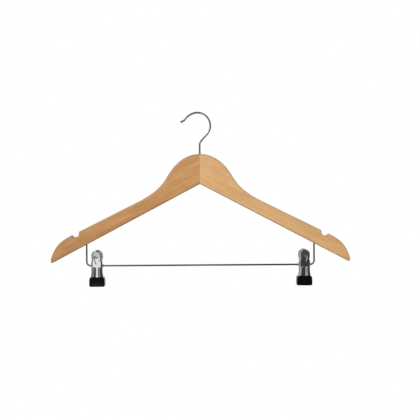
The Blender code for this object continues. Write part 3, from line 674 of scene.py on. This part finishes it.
GAP = 0.0003
TUBE_WALL = 0.0005
TUBE_FLANGE = 0.0009
TUBE_FLANGE_THICK = 0.0004
FRONT_WAIST = 0.0085
TUBE_BORE = BAR_RADIUS + GAP
TUBE_RADIUS = TUBE_BORE + TUBE_WALL
ROLL_STEPS = 8
CHROME_COLOUR = (0.80, 0.81, 0.83)

chrome = plated("bright_chrome", CHROME_COLOUR, spots=1200, worn=0.09)
clips = {}
for clip in ("left_clip", "right_clip"):
    low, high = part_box(clip + "_pivot_tube")
    clips[clip] = np.array((low + high) / 2)
flange_out = FRONT_WAIST + GAP + TUBE_FLANGE_THICK
roll = np.linspace(-math.pi / 2, math.pi / 2, ROLL_STEPS + 1)
roll_radius = TUBE_FLANGE_THICK / 2
lip_x = flange_out - roll_radius + roll_radius * np.sin(roll)
lip_r = TUBE_RADIUS + TUBE_FLANGE - roll_radius + roll_radius * np.cos(roll)
throat = np.linspace(math.pi / 2, 0, ROLL_STEPS + 1)
throat_x = flange_out - TUBE_WALL + TUBE_WALL * np.sin(throat)
throat_r = TUBE_BORE + TUBE_WALL - TUBE_WALL * np.cos(throat)
half_profile = np.concatenate((np.column_stack(([FRONT_WAIST + GAP], [TUBE_RADIUS])),
                               np.column_stack((lip_x, lip_r)), np.column_stack((throat_x, throat_r))))
tube_profile = np.concatenate((half_profile, half_profile[::-1] * (-1, 1)))
for clip, centre in clips.items():
    rivet = turned(clip + "_rivet", centre, tube_profile, True)
    rivet.data.materials.append(chrome)
    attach(rivet, clip + "_slider")
    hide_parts(clip + "_pivot_tube")


# The jaws: two halves pressed from chromed steel sheet, each with a dished thumb tab, a
# turned-in edge that grows into an ear at each side, two long ribs, and a flat end in its
# pad. The back half is narrower, so that its ears stand inside the front half's.

TAB_TOP = 0.0232
TAB_RADIUS = 0.0082
TAB_NECK = 0.0076
JAW_DROP = 0.0294
SHEET = 0.0008
BACK_WAIST = FRONT_WAIST - SHEET - GAP
TIP_HALF_WIDTH = 0.0100
FACE_AT_TAB = 0.0105
FACE_AT_PIVOT = 0.0066
FACE_AT_TIP = 0.0040
SHOULDER_ROUND = 0.0026
RIM_DEPTH = 0.0027
FLANK_DEPTH = 0.0045
EAR_RADIUS = 0.0040
EAR_FILLET = 0.0007
WAIST_TOP_SHARE = 0.20       # of the tab's height, where the edge starts to draw in
TAB_NECK_SHARE = 0.36        # of the tab's height, where it is narrowest
WAIST_LOW_SHARE = 0.27       # of the jaw's length, where it starts to flare
FLARE_END_SHARE = 0.70       # and where it stops
TAB_CURVE_SHARE = 0.35       # how much of the slope is a parabola
JAW_CURVE_SHARE = 0.22
RIB_HEIGHT = 0.0010
RIB_START_SHARE = 0.06       # of the jaw's length
RIB_FULL_SHARE = 0.14
RIB_CENTRE_SHARE = 0.75      # of the half width, as are the next two
RIB_INNER_SHARE = 0.56
RIB_OUTER_SHARE = 0.25
DISH_DEPTH = 0.00024
DISH_HALF_WIDTH = 0.0048     # at the dish's middle; wider above it, narrower below
DISH_TAPER = 0.5
DISH_HALF_HEIGHT = 0.0088
DISH_HEIGHT = 0.0096
DENT_DEPTH = 0.00045
DENT_RADIUS = 0.0018
DENT_HEIGHT = 0.0128
PAD_HEIGHT = 0.0139
PAD_DROP = 0.0309
CAP_STEPS = 24               # round a quarter of the tab's top
TAB_STEPS = 23               # down the tab's side
FILLET_STEPS = 5
EAR_STEPS = 32
JAW_STEPS = 59
BEND_STEPS = 8               # down the turned-in edge, and as many round its bend
FACE_STEPS = 40
HALVES = (("front", -1, FRONT_WAIST), ("back", 1, BACK_WAIST))


def smooth_step(value, start, end):
    """Rises from 0 at start to 1 at end as 3 t squared less 2 t cubed."""
    t = np.clip((value - start) / (end - start), 0, 1)
    return t * t * (3 - 2 * t)


def bent_rise(t, share):
    """From 0 to 1: a straight line mixed with a parabola by a share."""
    return t * (1 - share + share * t)


def face_out(z):
    """Sheet's outer face from the clip's middle plane: outwards up the tab, inwards down the jaw."""
    up = (FACE_AT_TAB - FACE_AT_PIVOT) * bent_rise(np.maximum(z, 0) / TAB_TOP, TAB_CURVE_SHARE)
    down = (FACE_AT_PIVOT - FACE_AT_TIP) * bent_rise(np.maximum(-z, 0) / JAW_DROP, JAW_CURVE_SHARE)
    return FACE_AT_PIVOT + up - down


def half_width(z, waist):
    """Waist at the ears, smooth steps in to the neck, out to the tab and out to the tip."""
    neck = (TAB_NECK - waist) * smooth_step(z, TAB_TOP * WAIST_TOP_SHARE, TAB_TOP * TAB_NECK_SHARE)
    tab = (TAB_RADIUS - TAB_NECK) * smooth_step(z, TAB_TOP * TAB_NECK_SHARE, TAB_TOP - TAB_RADIUS)
    flare = smooth_step(-z, JAW_DROP * WAIST_LOW_SHARE, JAW_DROP * FLARE_END_SHARE)
    return waist + neck + tab + (TIP_HALF_WIDTH - waist) * flare


def flank_depth(z):
    """Depth of the turned-in edge: a shallow rim, deeper by the pivot, a round ear at it."""
    fade = smooth_step(z, EAR_RADIUS, TAB_TOP - TAB_RADIUS) + smooth_step(-z, EAR_RADIUS, JAW_DROP / 2)
    edge = FLANK_DEPTH + (RIM_DEPTH - FLANK_DEPTH) * fade
    ear = face_out(z) + np.sqrt(np.maximum(EAR_RADIUS ** 2 - z * z, 0))
    return ear + (edge - ear) * smooth_step(np.abs(z), EAR_RADIUS, EAR_RADIUS + EAR_FILLET)


def relief(share, x, z):
    """Two raised cosine ribs below the pivot, and an egg-shaped dish and a round dent in the tab.

    With r the way to its rim as a share, the dish is depth (1 - r to the fourth) squared
    and the dent depth (1 - r squared) squared.
    """
    pad_top = PAD_DROP - PAD_HEIGHT
    rise = smooth_step(-z, JAW_DROP * RIB_START_SHARE, JAW_DROP * RIB_FULL_SHARE)
    rise = rise * (1 - smooth_step(-z, pad_top - SHEET, pad_top))
    reach = np.where(np.abs(share) > RIB_CENTRE_SHARE, RIB_OUTER_SHARE, RIB_INNER_SHARE)
    off_centre = np.minimum(np.abs(np.abs(share) - RIB_CENTRE_SHARE) / reach, 1)
    up_dish = (z - DISH_HEIGHT) / DISH_HALF_HEIGHT
    dish_width = DISH_HALF_WIDTH * (1 + DISH_TAPER * np.clip(up_dish, -1, 1))
    in_dish = np.minimum((x / dish_width) ** 2 + up_dish ** 2, 1)
    in_dent = (x ** 2 + (z - DENT_HEIGHT) ** 2) / DENT_RADIUS ** 2
    dish = DISH_DEPTH * (1 - in_dish ** 2) ** 2
    dent = DENT_DEPTH * (1 - np.minimum(in_dent, 1)) ** 2
    return RIB_HEIGHT * rise * (1 + np.cos(np.pi * off_centre)) / 2 - dish - dent


def pressed_face(centre, facing, waist):
    """A jaw's outer surface, row by row down its edge and column by column across it.

    Rows start round the tab's top and go down the side. Columns run up the left flank,
    round its bend, over the face and down the right flank.
    """
    turn = np.linspace(np.pi / 2, 0, CAP_STEPS + 1)
    cap_normal = np.column_stack((np.cos(turn), np.sin(turn)))
    cap_edge = cap_normal * TAB_RADIUS + (0, TAB_TOP - TAB_RADIUS)
    ear = EAR_RADIUS * np.cos(np.linspace(0, np.pi, EAR_STEPS + 1))
    fillet = EAR_RADIUS + EAR_FILLET * np.linspace(1, 0, FILLET_STEPS + 1)[:-1]
    above = np.linspace(TAB_TOP - TAB_RADIUS, EAR_RADIUS + EAR_FILLET, TAB_STEPS + 1)[1:-1]
    below = np.linspace(-EAR_RADIUS - EAR_FILLET, -JAW_DROP, JAW_STEPS + 1)[1:]
    z = np.concatenate((above, fillet, ear, -fillet[::-1], below))
    edge = np.concatenate((cap_edge, np.column_stack((half_width(z, waist), z))))
    normal = np.concatenate((cap_normal, np.broadcast_to((1.0, 0.0), (len(z), 2))))
    bend = np.linspace(0, np.pi / 2, BEND_STEPS + 1)
    inset = np.concatenate((np.zeros(BEND_STEPS), SHOULDER_ROUND * (1 - np.cos(bend))))
    above_bend = flank_depth(edge[:, 1:]) - SHOULDER_ROUND
    flank = SHOULDER_ROUND + above_bend * np.linspace(1, 0, BEND_STEPS + 1)[:-1]
    depth = np.column_stack((flank, np.tile(SHOULDER_ROUND * (1 - np.sin(bend)), (len(edge), 1))))
    side_x = edge[:, :1] - inset * normal[:, :1]
    side_z = edge[:, 1:] - inset * normal[:, 1:]
    side_out = face_out(side_z) - depth
    share = np.linspace(-1, 1, FACE_STEPS + 1)[1:-1]
    face_x = share * side_x[:, -1:]
    face_z = side_z[:, -1:] + 0 * share
    face_y = face_out(face_z) + relief(share, face_x, face_z)
    x = np.concatenate((-side_x, face_x, side_x[:, ::-1]), axis=1)
    out = np.concatenate((side_out, face_y, side_out[:, ::-1]), axis=1)
    height = np.concatenate((side_z, face_z, side_z[:, ::-1]), axis=1)
    grid = np.stack((x, facing * out, height), axis=-1) + centre
    return grid[:, ::facing]


def sheet_of(name, face, play=0.0):
    """A wall of the sheet's thickness behind its outer face, with a little play on both sides."""
    piece = skin(name, face, round_rows=False, closed=False)
    wall = piece.modifiers.new("wall", 'SOLIDIFY')
    wall.thickness = SHEET + 2 * play
    wall.offset = 2 * play / wall.thickness - 1
    wall.use_even_offset = True
    freeze(piece)
    return piece


ear_reach = FRONT_WAIST + OVERRUN
ear_profile = [(-ear_reach, TUBE_RADIUS + GAP / 2), (ear_reach, TUBE_RADIUS + GAP / 2)]
for clip, centre in clips.items():
    for half, facing, waist in HALVES:
        jaw = sheet_of(clip + "_" + half + "_pressing", pressed_face(centre, facing, waist))
        carve(jaw, drill("ear_drill", centre, ear_profile, True))
        jaw.data.materials.clear()
        jaw.data.materials.append(chrome)
        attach(jaw, clip + "_" + half)
        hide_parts(clip + "_" + half + "_jaw")


# The pads: a black rubber sleeve pushed over each jaw's end, moulded with rounded edges
# and a slightly full face, and nearly flat where the two meet and grip.

PAD_HALF_WIDTH = 0.0115
PAD_TOP_HALF_WIDTH = 0.0108
PAD_FACE = 0.0070
PAD_CORNER = 0.0023
PAD_TOP_CORNER = 0.0013
PAD_EDGE = 0.0008
PAD_GRIP_EDGE = 0.0004
PAD_CROWN = 0.0003
PAD_PLAY = 0.00005
PAD_WIDEST_SHARE = 0.38      # of the pad's height, from its top down to where it is widest
PAD_CORNER_STEPS = 10
PAD_EDGE_STEPS = 7
PAD_GRIP_STEPS = 4
CROWN_SHARES = (0.96, 0.88, 0.78, 0.66, 0.54, 0.42, 0.30, 0.18, 0.08, 0.0)


def rounded_corner(before, corner, after, radius, inset):
    """Arc that rounds a corner, about the same centre and tighter by the inset."""
    back = (before - corner) / np.linalg.norm(before - corner)
    ahead = (after - corner) / np.linalg.norm(after - corner)
    half = math.acos(float(back @ ahead)) / 2
    middle = (back + ahead) / np.linalg.norm(back + ahead)
    centre = corner + middle * radius / math.sin(half)
    start = corner + back * radius / math.tan(half) - centre
    end = corner + ahead * radius / math.tan(half) - centre
    first = math.atan2(start[1], start[0])
    turn = (math.atan2(end[1], end[0]) - first + math.pi) % (2 * math.pi) - math.pi
    return arc(centre, radius - inset, first, first + turn, PAD_CORNER_STEPS)


def pad_outline(inset):
    """A pad's outline: six corners, each rounded by its own radius, moved in by an inset."""
    top = PAD_HEIGHT - PAD_DROP
    widest = top - PAD_HEIGHT * PAD_WIDEST_SHARE
    right = [(PAD_TOP_HALF_WIDTH, top, PAD_TOP_CORNER), (PAD_HALF_WIDTH, widest, PAD_HEIGHT / 2),
             (PAD_HALF_WIDTH, -PAD_DROP, PAD_CORNER)]
    corners = np.array(right + [(-x, z, radius) for x, z, radius in reversed(right)])
    spots = corners[:, :2]
    count = len(spots)
    arcs = [rounded_corner(spots[i - 1], spots[i], spots[(i + 1) % count], corners[i, 2], inset)
            for i in range(count)]
    return np.concatenate(arcs)


def pad_body(name, centre, facing):
    """Outlines from the grip side out to the face, round its edge and over its crown to the middle.

    The crown's height is a share (1 - u squared)(1 - v squared), where u and v are how far
    across and how far up a point is, as shares of the flat face's half width and half height.
    """
    turn = np.linspace(0, np.pi / 2, PAD_EDGE_STEPS + 1)
    grip_turn = np.linspace(np.pi / 2, 0, PAD_GRIP_STEPS + 1)
    grip_out = GAP / 2 + PAD_GRIP_EDGE * (1 - np.sin(grip_turn))
    grip_inset = PAD_GRIP_EDGE * (1 - np.cos(grip_turn))
    out = np.concatenate((grip_out, PAD_FACE - PAD_EDGE * (1 - np.sin(turn))))
    inset = np.concatenate((grip_inset, PAD_EDGE * (1 - np.cos(turn))))
    rows = [np.column_stack((line[:, 0], np.full(len(line), facing * level), line[:, 1]))
            for level, line in ((level, pad_outline(shrink)) for level, shrink in zip(out, inset))]
    edge = rows[-1]
    middle = np.array((0, 0, PAD_HEIGHT / 2 - PAD_DROP))
    face_half = np.array((PAD_HALF_WIDTH, PAD_HEIGHT / 2)) - PAD_EDGE
    for share in CROWN_SHARES:
        ring = (edge - middle) * (share, 1, share) + middle
        left_over = 1 - np.minimum(np.abs((ring - middle)[:, ::2] / face_half), 1) ** 2
        ring[:, 1] = facing * (PAD_FACE + PAD_CROWN * left_over[:, 0] * left_over[:, 1])
        rows.append(ring)
    grip = (rows[0] - middle) * (0, 1, 0) + middle
    return skin(name, np.stack([grip] + rows) + centre)


def rubber(name):
    """Black rubber: even colour, a soft gloss broken by a fine cloudiness and handling marks."""
    recipe, shader, place = surface(name, {"IOR": 1.5, "Specular IOR Level": 0.22})
    cloud = recipe.noise(place, (160, 160, 160), 3.0)
    fine = recipe.noise(place, (2200, 2200, 2200), 2.0)
    recipe.feed(shader.inputs["Base Color"], recipe.mix(cloud, (0.002, 0.002, 0.0024, 1.0),
                                                        (0.004, 0.004, 0.0045, 1.0)))
    recipe.feed(shader.inputs["Roughness"], 0.22 + (cloud - 0.5) * 0.16 + (fine - 0.5) * 0.10)
    bump = recipe.node("Bump", {}, {"Strength": 0.2, "Distance": 0.00003, "Height": fine})
    recipe.feed(shader.inputs["Normal"], bump)
    return recipe.owner


pad_rubber = rubber("black_rubber_moulded")
for clip, centre in clips.items():
    for half, facing, waist in HALVES:
        pad = pad_body(clip + "_" + half + "_sleeve", centre, facing)
        face = pressed_face(centre, facing, waist)
        inside = face[:, face.shape[1] // 2, 2] < centre[2] - PAD_DROP + PAD_HEIGHT + OVERRUN
        carve(pad, sheet_of("slot_cut", face[inside], PAD_PLAY), solver='MANIFOLD')
        pad.data.materials.clear()
        pad.data.materials.append(pad_rubber)
        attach(pad, clip + "_" + half)
        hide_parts(clip + "_" + half + "_pad")


# The springs: five turns of plain spring wire wound round each rivet, with one leg on the
# back tab and one on the front tab. On the real clip the coil winds up as the clip opens;
# this one keeps its rest shape.

SPRING_RADIUS = 0.0005
SPRING_PITCH = 0.0015
SPRING_TURNS = 5
SPRING_REST_HEIGHT = 0.0115
SPRING_CHAMFER = 0.0001
SPRING_END_SHARE = 0.8
SPRING_STATIONS = 700
SPRING_SIDES = 12
COIL_STEP = math.radians(8)
COIL_POINTS = 9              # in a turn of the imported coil, whose chords clear the rivet
SPRING_COLOUR = (0.30, 0.30, 0.32)

coil_radius = (TUBE_RADIUS + GAP + SPRING_RADIUS) / math.cos(math.pi / COIL_POINTS)
rest_y = float(face_out(np.array(SPRING_REST_HEIGHT))) - SHEET - 2 * GAP - SPRING_RADIUS
rest_away = math.hypot(rest_y, SPRING_REST_HEIGHT)
leave = math.atan2(rest_y, SPRING_REST_HEIGHT) + math.acos(coil_radius / rest_away)
wound = 2 * math.pi * (SPRING_TURNS + 1) - 2 * leave
coil_half = SPRING_PITCH * wound / (2 * math.pi) / 2
coil_turn = np.linspace(-leave, -leave - wound, round(wound / COIL_STEP))
coil_x = np.linspace(-coil_half, coil_half, len(coil_turn))
radial = np.column_stack((0 * coil_turn, np.sin(coil_turn), np.cos(coil_turn)))
coil = radial * coil_radius + np.column_stack((coil_x, 0 * coil_x, 0 * coil_x))
front_end = np.array([(-coil_half, -rest_y, SPRING_REST_HEIGHT)])
back_end = np.array([(coil_half, rest_y, SPRING_REST_HEIGHT)])
spring_line = np.concatenate((front_end, coil, back_end))
spring_across = np.concatenate((radial[:1], radial, radial[-1:]))
spring_ends = cut_wire(run_length(spring_line), SPRING_RADIUS, SPRING_CHAMFER, SPRING_END_SHARE,
                       SPRING_STATIONS)
spring_steel = plated("spring_steel", SPRING_COLOUR, spots=1800, worn=0.30)
for clip, centre in clips.items():
    spring = tube(clip + "_coil", spring_line + centre, spring_across, *spring_ends, SPRING_SIDES)
    spring.data.materials.append(spring_steel)
    start = tuple(centre + (coil_half - SPRING_RADIUS, 0, 0))
    end = tuple(centre - (coil_half - SPRING_RADIUS, 0, 0))
    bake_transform(spring)
    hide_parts(clip + "_spring")


# The studio: a pale floor, white all round, and three soft lamps, of which the front one
# gives no glints. Only mirrors see the tent of cards, which has a window low on the left
# of its front, and a narrow slot beside it that goes on through its bottom.

CAMERA_DISTANCE = 1.3
CAMERA_Z = -0.12845
LENS = 74.7
SENSOR = 36.0
FRAME_PIXELS = 420
OPTICAL_CENTRE = 200         # pixels from the photograph's left and from its top
ROLL = math.radians(0.40)
FLOOR_Z = -0.95
FLOOR_HALF = 1.3
TENT_LEFT = -0.95
TENT_RIGHT = 0.95
TENT_FRONT = -1.60
TENT_REAR = 0.45
TENT_LOW = -0.90
TENT_HIGH = 0.70
WINDOW_LEFT = -0.75
WINDOW_RIGHT = -0.20
WINDOW_HIGH = -0.46
SLOT_LEFT = -0.03
SLOT_RIGHT = 0.05
SLOT_HIGH = -0.58
DIFFUSE_SKY = 0.45           # what the white all round gives as light, of what it shows
LAMP_AIM = (0, 0, -0.13)


def plane(name, corners, surface_colour, strength):
    """Flat card through four corners, with an even glow for what it shows in reflections."""
    mesh = bpy.data.meshes.new(name)
    mesh.from_pydata(corners, [], [(0, 1, 2, 3)])
    card = bpy.data.objects.new(name, mesh)
    bpy.context.scene.collection.objects.link(card)
    glow = {"Base Color": surface_colour, "Roughness": 0.9, "Emission Color": surface_colour,
            "Emission Strength": strength}
    recipe = surface(name + "_paint", glow)[0]
    mesh.materials.append(recipe.owner)
    return card


def across(start, end, low, high):
    """Corners of a card in the tent's front, between two places on X and two levels."""
    return [(start, TENT_FRONT, low), (end, TENT_FRONT, low), (end, TENT_FRONT, high),
            (start, TENT_FRONT, high)]


def beside(x):
    """Corners of a card that is one whole side of the tent."""
    return [(x, TENT_FRONT, TENT_LOW), (x, TENT_REAR, TENT_LOW), (x, TENT_REAR, TENT_HIGH),
            (x, TENT_FRONT, TENT_HIGH)]


def lying(start, end, level):
    """Corners of a card that lies at a level, from the tent's front to its rear."""
    return [(start, TENT_FRONT, level), (end, TENT_FRONT, level), (end, TENT_REAR, level),
            (start, TENT_REAR, level)]


floor_corners = [(-FLOOR_HALF, -FLOOR_HALF, FLOOR_Z), (FLOOR_HALF, -FLOOR_HALF, FLOOR_Z),
                 (FLOOR_HALF, FLOOR_HALF, FLOOR_Z), (-FLOOR_HALF, FLOOR_HALF, FLOOR_Z)]
plane("floor", floor_corners, grey(0.80), 0.0)

CARDS = {
    "grey_card_left": (beside(TENT_LEFT), 0.12),
    "dark_card_right": (beside(TENT_RIGHT), 0.03),
    "dark_card_front_right": (across(TENT_RIGHT, SLOT_RIGHT, TENT_LOW, TENT_HIGH), 0.03),
    "dark_card_front_middle": (across(SLOT_RIGHT, WINDOW_RIGHT, SLOT_HIGH, TENT_HIGH), 0.04),
    "dark_card_front_low": (across(SLOT_LEFT, WINDOW_RIGHT, TENT_LOW, SLOT_HIGH), 0.04),
    "dark_card_front_left": (across(WINDOW_LEFT, TENT_LEFT, TENT_LOW, TENT_HIGH), 0.03),
    "dark_card_front_top": (across(WINDOW_RIGHT, WINDOW_LEFT, WINDOW_HIGH, TENT_HIGH), 0.06),
    "dark_card_above": (lying(TENT_LEFT, TENT_RIGHT, TENT_HIGH), 0.06),
    "dark_card_below": (lying(SLOT_RIGHT, TENT_RIGHT, TENT_LOW), 0.04),
    "grey_card_below_left": (lying(TENT_LEFT, WINDOW_RIGHT, TENT_LOW), 0.35),
    "dark_card_below_middle": (lying(WINDOW_RIGHT, SLOT_LEFT, TENT_LOW), 0.04),
}
for name, (corners, tone) in CARDS.items():
    made = plane(name, corners, grey(tone), 1.0)
    made.visible_camera = False
    made.visible_diffuse = False
    made.visible_shadow = False
    made.visible_transmission = False

world = bpy.data.worlds.new("white_studio")
bpy.context.scene.world = world
sky = Recipe(world)
path = sky.node("LightPath", {}, {}, "Is Camera Ray")
glossy = sky.node("LightPath", {}, {}, "Is Glossy Ray")
through = sky.node("LightPath", {}, {}, "Is Transmission Ray")
seen = path.maths('MAXIMUM', path.maths('MAXIMUM', path, glossy), through)
back = sky.tree.nodes["Background"]
back.inputs["Color"].default_value = grey(1.0)
sky.feed(back.inputs["Strength"], DIFFUSE_SKY + seen * (1 - DIFFUSE_SKY))


def lamp(name, spot, size, energy):
    """Square soft lamp that faces the middle of the hanger."""
    data = bpy.data.lights.new(name, 'AREA')
    data.shape = 'SQUARE'
    data.size = size
    data.energy = energy
    light = bpy.data.objects.new(name, data)
    bpy.context.scene.collection.objects.link(light)
    light.location = spot
    way = np.array(LAMP_AIM) - spot
    light.rotation_euler = (math.acos(-way[2] / np.linalg.norm(way)), 0, math.atan2(-way[0], way[1]))
    light.visible_camera = False
    return light


lamp("key_lamp", spot=(-0.9, -1.1, 0.75), size=0.9, energy=11)
lamp("fill_lamp", spot=(1.1, -0.9, 0.35), size=0.8, energy=4)
front_lamp = lamp("front_lamp", spot=(-0.3, -1.7, 0.0), size=0.8, energy=5)
front_lamp.visible_glossy = False

view = bpy.data.cameras.new("camera")
view.lens = LENS
view.sensor_width = SENSOR
view.shift_x = (FRAME_PIXELS / 2 - OPTICAL_CENTRE) / FRAME_PIXELS
view.shift_y = -view.shift_x
camera = bpy.data.objects.new("camera", view)
bpy.context.scene.collection.objects.link(camera)
camera.location = (0, -CAMERA_DISTANCE, CAMERA_Z)
camera.rotation_euler = (math.pi / 2, ROLL, 0)
bpy.context.scene.camera = camera
bpy.context.scene.view_settings.view_transform = 'Standard'
